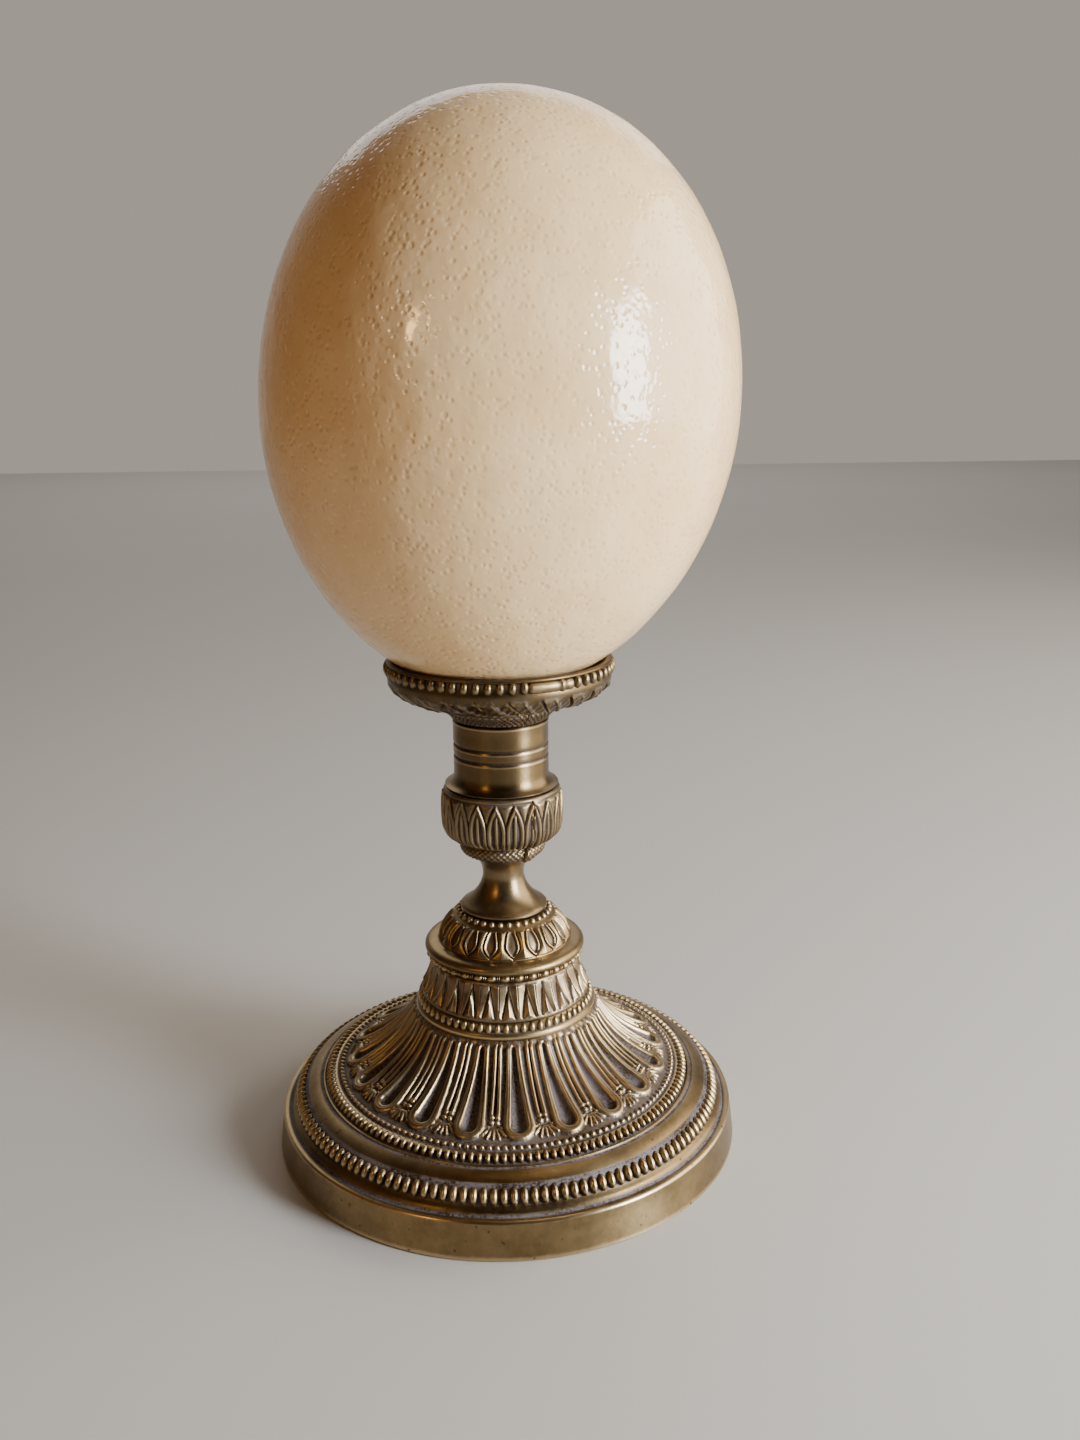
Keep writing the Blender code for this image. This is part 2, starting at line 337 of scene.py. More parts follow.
class Finish:
    """A material, or the room's light. add() makes nodes; place is each point's position."""

    def __init__(self, owner, place="Object"):
        self.owner = owner
        owner.use_nodes = True
        self.tree = owner.node_tree
        self.tree.nodes.clear()
        self.place = self.add("ShaderNodeTexCoord", result=place)

    def add(self, kind, settings=None, sockets=None, result=0):
        """A node of this kind, with its settings made first, then its values and links."""
        node = self.tree.nodes.new(kind)
        for key, value in (settings or {}).items():
            setattr(node, key, value)
        for key, value in (sockets or {}).items():
            if isinstance(value, Wire):
                self.tree.links.new(value.socket, node.inputs[key])
            else:
                node.inputs[key].default_value = value
        return Wire(self, node.outputs[result])

    def noise(self, size, detail, roughness):
        """Cloudy noise from 0 to 1, whose features are about size metres across."""
        return self.add(
            "ShaderNodeTexNoise",
            None,
            {"Vector": self.place, "Scale": 1.0 / size, "Detail": detail, "Roughness": roughness},
        )

    def blend(self, share, first, second):
        """A colour between two colours."""
        sockets = {0: share, 6: colour(first), 7: colour(second)}
        return self.add("ShaderNodeMix", {"data_type": "RGBA"}, sockets, 2)

    def bump(self, height, distance, normal=None):
        """The surface normal, as if raised by height times distance in metres."""
        sockets = {"Height": height, "Distance": distance}
        if normal is not None:
            sockets["Normal"] = normal
        return self.add("ShaderNodeBump", None, sockets)

    def done(self, piece, **sockets):
        """Finish the shader and lay the material on a piece."""
        shader = self.add(
            "ShaderNodeBsdfPrincipled",
            None,
            {key.replace("_", " "): value for key, value in sockets.items()},
        )
        outlet = self.tree.nodes.new("ShaderNodeOutputMaterial")
        self.tree.links.new(shader.socket, outlet.inputs["Surface"])
        piece.data.materials.clear()
        piece.data.materials.append(self.owner)


def colour(value):
    """A colour as the mix nodes take it."""
    return value if isinstance(value, Wire) else (*value, 1.0)


def antique_brass(
    piece, dust, worn=1.0, gloom=0.0, film=0.0, spots=0.0, cloudy=1.0, rough=0.36, drawn=0.0
):
    """Old brass without lacquer: brown in the field, nearly black in the recesses, golden on
    the crests, with grey-lilac dust where a cloth doesn't reach.

    dust, worn and cloudy are how strong the dust, the golden crests and the clouding are;
    gloom paints shade over the whole piece, darkening it towards a dark brown (on the drip
    pan it is partly its dark patina too); film lays the lilac over its open faces too, and
    spots flecks it brown. drawn is how far the fine turning marks round a lathe-turned face
    draw its highlights out along the stand.
    """
    brown, pale_brown, fleck = (0.185, 0.127, 0.060), (0.280, 0.198, 0.095), (0.37, 0.275, 0.145)
    gold, tarnish, painted_shade_brown = (0.60, 0.455, 0.255), (0.024, 0.014, 0.008), (0.055, 0.037, 0.020)
    dust_lilac, spot_brown = (0.30, 0.265, 0.30), (0.08, 0.04, 0.018)
    finish = Finish(bpy.data.materials.new(piece.name + "_brass"))
    hollow = finish.add("ShaderNodeAttribute", {"attribute_name": "hollow"}, result="Fac")
    cloud = finish.noise(0.014, 4.0, 0.6)
    mottle = finish.noise(0.0024, 3.0, 0.65)
    fine = finish.noise(0.0006, 2.0, 0.6)
    recess = (hollow + (mottle - 0.5) * 0.30).between(0.02, 0.60)
    crest = (0.0 - hollow + (mottle - 0.5) * 0.4).between(0.10, 0.80)
    field = finish.blend(cloud.between(0.30, 0.72) * cloudy, brown, pale_brown)
    field = finish.blend(mottle.between(0.35, 0.75) * (0.25 * cloudy), field, fleck)
    base = finish.blend(crest * (worn * 0.8), field, gold)
    base = finish.blend(recess * 0.88, base, tarnish)
    # painted shade: the whole piece darkened towards a dark brown
    if gloom:
        base = finish.blend(gloom, base, painted_shade_brown)
    lilac = recess * (cloud + fine - 0.72).between(0.05, 0.40) * dust
    if film:
        lilac = lilac + (1.0 - recess) * (cloud + mottle - 0.6).between(0.1, 0.6) * film
    base = finish.blend(lilac, base, dust_lilac)
    dull = rough + (cloud - 0.5) * (0.12 * cloudy) + (fine - 0.5) * 0.08
    dull = dull + recess * 0.26 + lilac * 0.20 - crest * 0.03
    metal = 1.0 - lilac * 0.80 - recess * 0.30
    if spots:
        flaw = finish.noise(0.0016, 1.0, 0.4).between(0.70, 0.80) * spots
        base = finish.blend(flaw, base, spot_brown)
        dull = dull + flaw * 0.2
    pitting = finish.bump(fine * 0.6 + mottle * (0.4 * cloudy), 0.00004)
    finish.done(
        piece,
        Base_Color=base,
        Roughness=dull,
        Metallic=metal,
        Normal=pitting,
        Anisotropic=drawn,
        Anisotropic_Rotation=0.25,
    )


def settle(piece, node):
    """A finished piece: it rides with the stand and stands for its CAD node."""
    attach(piece, "root")
    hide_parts(node)


antique_brass(foot_bell, dust=0.35, worn=0.75, film=0.08, gloom=0.10)
settle(foot_bell, "foot")

# ---------------------------------------------------------------------------------------
# The foot's rim: the same casting's plain flared skirt, its rolled upper edge, the flat
# step, the seat of the upright ribs, the ogee and the seat of the beads, hollow below.
# ---------------------------------------------------------------------------------------
RIM_COLUMNS = 240
FOOT_RADIUS = 68.3
SKIRT_WALL = 2.6
rim_outline = [
    (FOOT_RADIUS - SKIRT_WALL, 0.0),
    (67.7, 0.0),
    (68.2, 0.5),
    (68.0, 2.0),
    (67.65, 4.6),
    (67.3, 7.2),
    (67.0, 9.4),
    *moulding((66.0, 9.95), 1.0, 0, 88, 6),
    (65.3, 10.95),
    (64.9, 10.8),
    (64.4, 11.05),
    (63.8, 11.75),
    (63.3, 12.2),
    (62.7, 12.45),
    (61.8, 13.4),
    (60.8, 15.3),
    (60.2, 16.75),
    (59.9, 16.95),
    *curve((59.6, 17.15), (57.9, 18.45), (55.8, 18.95), 7),
    (55.45, 18.8),
    (55.1, 18.9),
    (54.8, 19.25),
    (54.4, 19.35),
    (54.0, 19.0),
    (52.8, 19.3),
    (51.4, 20.1),
    (50.4, 20.4),
    (50.2, 18.0),
    (53.0, 17.2),
    (57.2, 15.8),
    (58.4, 13.6),
    (59.4, 10.0),
    (61.6, 9.2),
    (63.6, 8.8),
    (64.8, 4.0),
    (FOOT_RADIUS - SKIRT_WALL, 0.0),
]


def rim_relief(angle, along, radius):
    """The casting's slight unevenness, but for the first of the line, where the rim has the
    ground ring that it stands on."""
    wave = np.sin(angle * 7 + 0.8) + np.sin(angle * 13 + along * 0.3)
    ground_ring = along < SKIRT_WALL
    return 0.03 * wave * ~ground_ring


def corner_tarnish(piece, corners, crests):
    """Tarnish near the inner corners of a turned piece and wear near its outer ones, each
    given as (radius, height, reach)."""
    place = places_of(piece) / MM
    radius = np.hypot(place[:, 0], place[:, 1])
    value = np.zeros(len(radius))
    for spots, sign in ((corners, 1.0), (crests, -1.0)):
        for r, z, reach in spots:
            value += sign * hump(np.hypot(radius - r, place[:, 2] - z) / reach)
    piece.data.attributes["hollow"].data.foreach_set(
        "value", np.clip(value, -1, 1).astype(np.float32)
    )


foot_rim = turn("foot_rim", rim_outline, RIM_COLUMNS)
carve(foot_rim, rim_outline, RIM_COLUMNS, rim_relief)
corner_tarnish(
    foot_rim,
    [(64.8, 10.8, 0.9), (60.0, 16.8, 0.7), (61.4, 14.0, 2.0), (55.4, 18.8, 0.7), (53.0, 19.3, 1.6)],
    [(66.6, 10.6, 0.9), (FOOT_RADIUS, 0.4, 0.7)],
)
smooth(foot_rim, 30)
antique_brass(foot_rim, dust=0.45, spots=0.8, rough=0.34, drawn=0.6)
settle(foot_rim, "foot")


# ---------------------------------------------------------------------------------------
# The lower bead rings of the foot: tall oval beads on the lower band, and small oval beads
# round the bell's edge. Both are cast in one with the foot.
# ---------------------------------------------------------------------------------------
def bead_ring(name, count, radius, height, half, lean_deg, phase_deg=0.0, made=None):
    """One bead drawn out from a ball and trimmed flat behind, then copied round the stand.

    half is its half width across, out and along, in mm; lean_deg tips its face upwards. Of
    the count places round the ring, the first made are filled.
    """
    made = made or count
    across, out, long = half
    flat_back = -0.35 * out
    bpy.ops.object.select_all(action="DESELECT")
    bpy.ops.mesh.primitive_uv_sphere_add(
        segments=10, ring_count=7, radius=1.0, location=(0.0, 0.0, 0.0)
    )
    piece = bpy.context.object
    piece.name = piece.data.name = name
    bpy.ops.object.mode_set(mode="EDIT")
    bpy.ops.mesh.select_all(action="SELECT")
    bpy.ops.transform.resize(value=(out * MM, across * MM, long * MM))
    bpy.ops.mesh.bisect(
        plane_co=(flat_back * MM, 0.0, 0.0),
        plane_no=(1.0, 0.0, 0.0),
        use_fill=True,
        clear_inner=True,
    )
    bpy.ops.object.mode_set(mode="OBJECT")
    outward = np.array([v.co.x for v in piece.data.vertices]) / (out * MM)
    write_hollow(piece, np.clip(0.75 - 1.75 * outward, -0.8, 1))
    lean = Matrix.Rotation(math.radians(-lean_deg), 4, "Y")
    turn_to = Matrix.Rotation(math.radians(phase_deg), 4, "Z")
    piece.data.transform(turn_to @ Matrix.Translation((radius * MM, 0.0, height * MM)) @ lean)
    bpy.ops.object.mode_set(mode="EDIT")
    bpy.ops.mesh.select_all(action="SELECT")
    bpy.ops.mesh.spin(
        steps=made - 1,
        dupli=True,
        angle=math.tau * (made - 1) / count,
        center=(0.0, 0.0, 0.0),
        axis=(0.0, 0.0, 1.0),
    )
    bpy.ops.object.mode_set(mode="OBJECT")
    smooth(piece, 60)
    return piece


lower_ribs = bead_ring("lower_ribs", 146, 61.45, 14.75, (1.12, 1.45, 2.3), 36)
antique_brass(lower_ribs, dust=0.3)
settle(lower_ribs, "foot")

bell_beads = bead_ring("bell_beads", 150, 52.5, 20.15, (0.83, 1.25, 1.55), 58)
antique_brass(bell_beads, dust=0.3)
settle(bell_beads, "foot")

# ---------------------------------------------------------------------------------------
# The foot's collar: the round moulding and bead row that close the top of the bell, and
# the deck that the stacked pieces stand on, bored for the rod.
# ---------------------------------------------------------------------------------------
BORE_RADIUS = 2.8  # of the hole for the rod, through every piece of the stack
collar_outline = [
    (25.0, 39.0),
    (26.2, 39.0),
    *moulding((25.0, 40.75), 1.55, -55, 70, 9),
    (25.2, 42.0),
    (24.9, 43.0),
    (24.9, 44.0),
    (24.5, 44.4),
    (BORE_RADIUS, 44.4),
    (BORE_RADIUS, 40.0),
    (21.5, 40.0),
    (24.4, 37.6),
    (25.0, 39.0),
]
COLLAR_COLUMNS = 160
foot_collar = turn("foot_collar", collar_outline, COLLAR_COLUMNS)
carve(foot_collar, collar_outline, COLLAR_COLUMNS, rim_relief)
corner_tarnish(foot_collar, [(25.3, 42.2, 0.9), (26.2, 39.1, 0.8)], [(26.5, 40.7, 0.9)])
smooth(foot_collar, 30)
antique_brass(foot_collar, dust=0.4)
settle(foot_collar, "foot")

collar_beads = bead_ring("collar_beads", 64, 24.8, 42.75, (0.98, 1.2, 1.7), 12)
antique_brass(collar_beads, dust=0.4)
settle(collar_beads, "foot")


# ---------------------------------------------------------------------------------------
# The leaf drum: a short flared casting that stands on the foot, chased with a ring of
# short pointed leaves over a row of tall ones, with dust lying between them.
# ---------------------------------------------------------------------------------------
def sector(angle, count, phase_deg):
    """Where an angle lies across its sector of the ring: -0.5 and 0.5 are the sector's sides."""
    return ((angle - math.radians(phase_deg)) * count / math.tau + 0.5) % 1 - 0.5


def drum_relief(angle, along, radius):
    """Short pointed leaves over a row of tall ones, each with a sharp ridge up its middle."""
    half = math.pi / DRUM_LEAVES * radius
    across = np.abs(sector(angle, DRUM_LEAVES, -88.0)) * 2 * half
    share = np.clip((along - 1.3) / (DRUM_LENGTH - 2.0), 0, 1)
    short = 0.64 * half * np.clip(1 - share / 0.86, 0, 1) ** 0.9
    ridge_of_short = 1 - across / np.maximum(short, 0.05)
    ridge_of_tall = 1 - (half - across) / np.maximum(half - short, 0.05)
    height = np.where(across < short, 0.75 * ridge_of_short - 0.05, 0.68 * ridge_of_tall - 0.15)
    height -= 0.55 * hump((across - short) / 0.42)
    height -= 0.25 * hump((half - across) / 0.20)
    fade = step_up(along, 1.0, 1.4) * (1 - step_up(along, DRUM_LENGTH - 0.8, DRUM_LENGTH - 0.4))
    return height * fade * (along < DRUM_LENGTH)


DRUM_LEAVES = 26
drum_line = [(24.6, 44.7), (24.7, 45.4)] + curve((24.4, 45.7), (22.2, 48.6), (20.9, 54.6), 30)
DRUM_LENGTH = length_of(drum_line)
DRUM_COLUMNS = DRUM_LEAVES * 28
drum_outline = [
    *respaced(drum_line, np.linspace(0, DRUM_LENGTH, 36)),
    (20.3, 55.0),
    (BORE_RADIUS, 55.0),
    (BORE_RADIUS, 44.7),
    (24.6, 44.7),
]
leaf_drum = turn("leaf_drum_casting", drum_outline, DRUM_COLUMNS, DRUM_LEAVES)
carve(leaf_drum, drum_outline, DRUM_COLUMNS, drum_relief, reach=(1, 2), tight=0.16)
smooth(leaf_drum, 75)
antique_brass(leaf_drum, dust=0.5, worn=0.6, film=0.16, rough=0.36)
settle(leaf_drum, "leaf_drum")


# ---------------------------------------------------------------------------------------
# The leaf dome: the domed knop above the drum. Leaves hang down it from a small bead row
# to a smooth rounded flange, and a bead-and-reel row runs under the flange.
# ---------------------------------------------------------------------------------------
def dome_relief(angle, along, radius):
    """Hollow spear leaves with raised edges and their points down, and ridges between them
    that broaden into the tips of a second row."""
    half = math.pi / DOME_LEAVES * radius
    across = np.abs(sector(angle, DOME_LEAVES, -83.0)) * 2 * half
    down = np.clip(1 - (along - DOME_START) / DOME_LENGTH, 0, 1)
    waist = 0.42 + 0.26 * np.sin(math.pi * np.clip(down / 1.1, 0, 1))
    point = np.cos(math.pi / 2 * np.clip((down - 0.55) / 0.40, 0, 1)) ** 0.9
    width = half * waist * point
    edge = width - across
    leaf = (edge > 0) * (down < 0.95)
    height = leaf * (0.36 * roll((edge - 0.36) / 0.42) - 0.26 * step_up(edge, 0.50, 1.2))
    height -= 0.46 * hump(edge / 0.34) * (down < 0.99)
    behind = (edge < -0.12) * (down < 0.97)
    gap = (half - across) / np.maximum(half - width - 0.15, 0.1)
    height += behind * 0.62 * np.clip(1 - gap, 0, 1) ** 0.7
    height *= step_up(down, 0.02, 0.10) * (1 - step_up(down, 0.955, 0.99))
    band = (along > DOME_START) * (along < DOME_START + DOME_LENGTH)
    return height * band


DOME_LEAVES = 18
dome_foot = [
    (20.6, 55.3),
    (21.4, 55.6),
    (21.8, 56.4),
    (21.9, 57.3),
    (22.3, 57.75),
    (23.0, 58.0),
    (23.35, 58.6),
    (23.35, 59.3),
    (22.9, 60.0),
    (22.1, 60.45),
    (21.0, 60.65),
    (20.0, 60.6),
    (19.4, 60.7),
    (19.2, 60.9),
]
DOME_START = length_of(dome_foot)
dome_line = [(19.2, 60.9)] + curve((19.2, 60.9), (18.3, 64.7), (14.7, 68.0), 30)
DOME_LENGTH = length_of(dome_line)
DOME_COLUMNS = DOME_LEAVES * 32
dome_outline = [
    *dome_foot,
    *respaced(dome_line, np.linspace(0, DOME_LENGTH, 38))[1:],
    (14.2, 68.2),
    (13.5, 68.8),
    (12.6, 69.5),
    (11.6, 69.7),
    (BORE_RADIUS, 69.7),
    (BORE_RADIUS, 55.3),
    (20.6, 55.3),
]
leaf_dome = turn("leaf_dome_casting", dome_outline, DOME_COLUMNS, DOME_LEAVES)
carve(leaf_dome, dome_outline, DOME_COLUMNS, dome_relief, reach=(1, 3), tight=0.30)
smooth(leaf_dome, 75)
antique_brass(leaf_dome, dust=0.15, worn=0.7)
settle(leaf_dome, "leaf_dome")

dome_beads = bead_ring("dome_beads", 34, 13.2, 69.1, (0.92, 0.85, 1.0), 40)
antique_brass(dome_beads, dust=0.5)
settle(dome_beads, "leaf_dome")

flange_beads = bead_ring("flange_beads", 36, 22.0, 56.95, (1.45, 1.2, 1.1), -12)
antique_brass(flange_beads, dust=0.3)
settle(flange_beads, "leaf_dome")

for side, phase_deg in (("left", 4.3), ("right", 5.7)):
    flange_reels = bead_ring(
        "flange_reels_" + side, 36, 21.95, 56.95, (0.26, 0.9, 0.8), -12, phase_deg=phase_deg
    )
    antique_brass(flange_reels, dust=0.3)
    settle(flange_reels, "leaf_dome")

# ---------------------------------------------------------------------------------------
# The stem: a plain turned piece, satin from the lathe and handling, with a rounded bell
# at its lower end, a thin neck, and a flared head under the cup.
# ---------------------------------------------------------------------------------------
stem_outline = [
    (11.6, 70.0),
    (12.3, 70.2),
    (12.65, 70.6),
    (12.6, 71.05),
    (12.2, 71.5),
    *curve((12.2, 71.5), (7.0, 74.4), (5.95, 80.0), 16),
    *curve((5.95, 80.0), (5.85, 84.6), (9.4, 86.6), 9),
    (9.6, 86.8),
    (BORE_RADIUS, 86.8),
    (BORE_RADIUS, 70.0),
    (11.6, 70.0),
]


def plain_relief(angle, along, radius):
    """No relief: a smooth turned face."""
    return np.zeros_like(radius)


STEM_COLUMNS = 128
stem = turn("stem_turning", stem_outline, STEM_COLUMNS)
carve(stem, stem_outline, STEM_COLUMNS, plain_relief)
corner_tarnish(stem, [(9.4, 86.6, 1.6), (11.8, 70.0, 0.9)], [])
smooth(stem, 30)
antique_brass(stem, dust=0.2, film=0.05, cloudy=0.45, rough=0.31, drawn=0.35)
settle(stem, "stem")


# ---------------------------------------------------------------------------------------
# The leaf cup: a knurled collar, a swelling body of upright leaves and a plain lip. It is
# cast in one, and an old crack runs down the right of its front.
# ---------------------------------------------------------------------------------------
CRACK_ANGLE = math.radians(-59.5)


def knurl(angle, along, radius, count, depth):
    """Two crossing rows of fine cuts, as a knurling wheel leaves."""
    first = np.cos(angle * count + along * count / radius)
    second = np.cos(angle * count - along * count / radius)
    return depth * (first + second) / 2


def cup_relief(angle, along, radius):
    """Knurled collar, leaves with their points up, plain lip, and the crack."""
    half = math.pi / CUP_LEAVES * radius
    across = np.abs(sector(angle, CUP_LEAVES, -78.0)) * 2 * half
    up = (along - CUP_FOOT) / (CUP_TIPS - CUP_FOOT)
    width = half * (1 - np.clip((up - 0.52) / 0.46, 0, 1) ** 1.9)
    edge = width - across
    leaf = (edge > 0) * (up < 0.98)
    height = leaf * 0.52 * roll((edge - 0.60) / 0.62) * (edge < 1.22)
    rib = leaf * 0.42 * roll(across / 0.50) * (1 - step_up(up, 0.72, 0.90))
    height = np.maximum(height, rib)
    height -= leaf * 0.18 * step_up(edge, 1.1, 1.4) * step_up(across, 0.35, 0.55)
    height -= 0.34 * hump(edge / 0.26) * (up < 0.99)
    gap = (half - across) / np.maximum((half - width) * 0.80, 0.05)
    notch = (edge < -0.1) * (up < 1.0)
    tip_behind = 0.50 * roll(gap) * step_up(up, 0.62, 0.74) * (1 - step_up(up, 0.93, 0.98))
    height += notch * (tip_behind - 0.25)
    height *= step_up(up, 0.0, 0.06) * (up < 1.0)
    collar = step_up(along, 0.6, 1.0) * (1 - step_up(along, CUP_FOOT - 1.4, CUP_FOOT - 0.9))
    height += knurl(angle, along, radius, 44, 0.22) * collar
    off = (angle - CRACK_ANGLE + math.pi) % math.tau - math.pi
    off = off * radius + 0.30 * np.sin(along * 0.8)
    body = (along > 0.2) * (along < CUP_TIPS)
    height -= 0.70 * hump(off / 0.24) * body
    proud = 0.34 + 0.45 * (1 - step_up(along, 3.0, 6.0))
    height += proud * step_up(off, 0.14, 0.5) * (1 - step_up(off, 1.0, 6.0)) * body
    return height


CUP_LEAVES = 20
cup_collar_line = [(9.9, 87.1)] + moulding((10.1, 89.3), 2.15, -62, 52, 14)
cup_collar_line += [(11.5, 91.2), (11.6, 91.7)]
cup_body_line = (
    cup_collar_line
    + curve((11.7, 91.8), (16.3, 92.4), (16.85, 96.0), 24)
    + curve((16.85, 96.0), (17.3, 101.0), (16.75, 106.2), 18)
)
cup_line = cup_body_line + curve((16.75, 106.2), (16.5, 107.2), (15.8, 107.3), 5)
CUP_FOOT = length_of(cup_collar_line)
CUP_TIPS = length_of(cup_body_line)
CUP_LENGTH = length_of(cup_line)
CUP_COLUMNS = CUP_LEAVES * 32
cup_outline = [
    *respaced(cup_line, np.linspace(0, CUP_LENGTH, 84)),
    (BORE_RADIUS, 107.3),
    (BORE_RADIUS, 87.1),
    (9.9, 87.1),
]
leaf_cup = turn("leaf_cup_casting", cup_outline, CUP_COLUMNS, CUP_LEAVES)
carve(leaf_cup, cup_outline, CUP_COLUMNS, cup_relief, reach=(2, 3), tight=0.26)
smooth(leaf_cup, 75)
antique_brass(leaf_cup, dust=0.15, worn=0.35, film=0.10, gloom=0.22)
settle(leaf_cup, "leaf_cup")

# ---------------------------------------------------------------------------------------
# The candle tube: a turned socket with a flared foot and two lines cut round it. It stands
# on the leaf cup, and the drip pan's spigot fills it.
# ---------------------------------------------------------------------------------------
tube_outline = [
    (BORE_RADIUS, 107.6),
    (15.8, 107.6),
    (16.15, 107.8),
    (16.15, 108.05),
    *curve((15.9, 108.2), (13.8, 108.6), (13.5, 111.2), 8),
    (13.5, 112.0),
    (13.5, 114.6),
]
for line_height in (116.6, 120.0):
    tube_outline += [
        (13.5, line_height - 1.30),
        (13.56, line_height - 0.85),
        (13.46, line_height - 0.42),
        (13.24, line_height - 0.12),
        (13.26, line_height + 0.24),
        (13.44, line_height + 0.60),
        (13.5, line_height + 1.1),
    ]
tube_outline += [
    (13.5, 123.0),
    (13.5, 125.8),
    (13.62, 126.2),
    (13.6, 126.6),
    (13.4, 126.8),
    (11.8, 126.8),
    (11.8, 113.0),
    (BORE_RADIUS, 113.0),
    (BORE_RADIUS, 107.6),
]
TUBE_COLUMNS = 160
candle_tube = turn("candle_tube_turning", tube_outline, TUBE_COLUMNS)
carve(candle_tube, tube_outline, TUBE_COLUMNS, plain_relief)
corner_tarnish(
    candle_tube,
    [(13.25, 116.65, 0.5), (13.25, 120.05, 0.5), (16.1, 107.7, 0.4)],
    [(13.56, 115.75, 0.4), (13.56, 119.15, 0.4), (13.6, 126.3, 0.4)],
)
smooth(candle_tube, 30)
# gloom paints shade over the tube, darkening the pale floor's reflection in it
antique_brass(candle_tube, dust=0.1, cloudy=0.35, rough=0.34, drawn=0.8, gloom=0.2)
settle(candle_tube, "candle_tube")


# ---------------------------------------------------------------------------------------
# The drip pan: a cast dish on a crosshatched collar. Overlapping laurel leaves wrap its
# underside, a row of upright beads rings it, and the egg sits in its smooth mouth.
# ---------------------------------------------------------------------------------------
def pan_relief(angle, along, radius):
    """Crosshatched collar with a crack down it, then big slanting leaves that lap over each
    other under the dish."""
    height = knurl(angle, along, radius, 60, 0.26) * step_up(along, 0.0, 0.3)
    height *= 1 - step_up(along, PAN_LEAVES - 1.3, PAN_LEAVES - 0.9)
    share = (along - PAN_LEAVES) / (PAN_BEADS - PAN_LEAVES)
    band = step_up(share, 0.0, 0.06) * (1 - step_up(share, 0.94, 1.0))
    leaves = 22
    blade = (angle * leaves / math.tau + share * 1.25) % 1  # across one leaf, from 0 to 1
    midrib, lapped_edge = hump((blade - 0.42) / 0.10), hump((blade - 0.97) / 0.06)
    leaf = 0.55 * (1 - blade) + 0.45 * midrib - 0.75 * lapped_edge
    nick = np.cos((share * 7 - blade * 3) * math.tau)
    height += band * (0.95 * leaf + 0.10 * nick * (blade > 0.1) * (blade < 0.9))
    off = (angle - PAN_CRACK_ANGLE + math.pi) % math.tau - math.pi
    height -= 0.5 * hump(off * radius / 0.35) * (along > 0.0) * (along < PAN_LEAVES)
    return height


PAN_CRACK_ANGLE = math.radians(-62.0)
pan_collar_line = [(13.4, 127.1)] + curve((13.4, 127.1), (14.2, 128.5), (16.0, 129.9), 12)
pan_collar_line += [(16.4, 131.0), (16.5, 132.2), (16.4, 132.6)]
pan_under_line = [(16.4, 132.7)] + curve((16.4, 132.7), (27.8, 132.9), (31.2, 138.6), 30)
pan_seat_line = [(31.3, 139.3), (31.4, 140.2), (31.1, 141.0), (31.0, 143.2), (31.2, 143.55)]
pan_rim_line = moulding((31.0, 143.95), 0.5, -50, 80, 6)
pan_rim_line += [(30.6, 144.45), (30.2, 144.5), (29.8, 144.3)]
PAN_LEAVES = length_of(pan_collar_line)
PAN_BEADS = PAN_LEAVES + length_of(pan_under_line)
PAN_COLUMNS = 720
pan_visible = respaced(pan_collar_line + pan_under_line[1:], np.linspace(0, PAN_BEADS, 60))
pan_outline = [
    *pan_visible,
    *pan_seat_line,
    *pan_rim_line,
    (29.55, 143.8),
    *curve((29.4, 143.4), (23.5, 134.2), (12.5, 133.0), 8),
    (0.5, 133.0),
    (0.5, 113.3),
    (11.5, 113.3),
    (11.5, 127.1),
    (13.4, 127.1),
]
drip_pan = turn("drip_pan_casting", pan_outline, PAN_COLUMNS, 12)
carve(drip_pan, pan_outline, PAN_COLUMNS, pan_relief, reach=(1, 3), tight=0.20)
smooth(drip_pan, 75)
# the drip pan's gloom is painted shade under the dish, together with its dark patina
antique_brass(drip_pan, dust=0.4, gloom=0.62)
settle(drip_pan, "drip_pan")

pan_beads = bead_ring(
    "pan_beads", 62, 30.95, 142.15, (1.25, 1.45, 1.8), -4, phase_deg=-78.3, made=58
)
antique_brass(pan_beads, dust=0.2, worn=0.8, gloom=0.5)
settle(pan_beads, "drip_pan")

# A plain bar with a tie round it, in the gap that four beads leave in the row.
BAR_RADIUS, BAR_HEIGHT = 0.031, 0.142  # of its middle, from the stand's axis and foot
bar_start, bar_sweep = math.radians(-76.5), math.radians(24.5)
bpy.ops.object.select_all(action="DESELECT")
bpy.ops.mesh.primitive_circle_add(
    vertices=12, radius=MM, fill_type="NGON", location=(0.0, 0.0, 0.0)
)
rim_bar = bpy.context.object
rim_bar.name = rim_bar.data.name = "rim_bar"
rim_bar.data.transform(Matrix.Rotation(math.radians(90), 4, "X"))
rim_bar.data.transform(Matrix.Diagonal((1.25, 1.0, 1.55, 1.0)))
rim_bar.data.transform(
    Matrix.Rotation(bar_start, 4, "Z") @ Matrix.Translation((BAR_RADIUS, 0.0, BAR_HEIGHT))
)
bpy.ops.object.mode_set(mode="EDIT")
bpy.ops.mesh.select_all(action="SELECT")
bpy.ops.mesh.spin(steps=40, angle=-bar_sweep, center=(0.0, 0.0, 0.0), axis=(0.0, 0.0, 1.0))
bpy.ops.mesh.select_all(action="SELECT")
bpy.ops.mesh.normals_make_consistent(inside=False)
bpy.ops.object.mode_set(mode="OBJECT")
bar_place = places_of(rim_bar)
bar_share = (np.arctan2(bar_place[:, 1], bar_place[:, 0]) - bar_start) / bar_sweep
before_tie, after_tie = bar_share - 0.64, bar_share - 0.80
thickness = 1 + 0.17 * hump((bar_share - 0.72) / 0.06) - 0.10 * hump(before_tie / 0.04)
thickness -= 0.10 * hump(after_tie / 0.04) + 0.45 * (1 - step_up(bar_share, 0.0, 0.05))
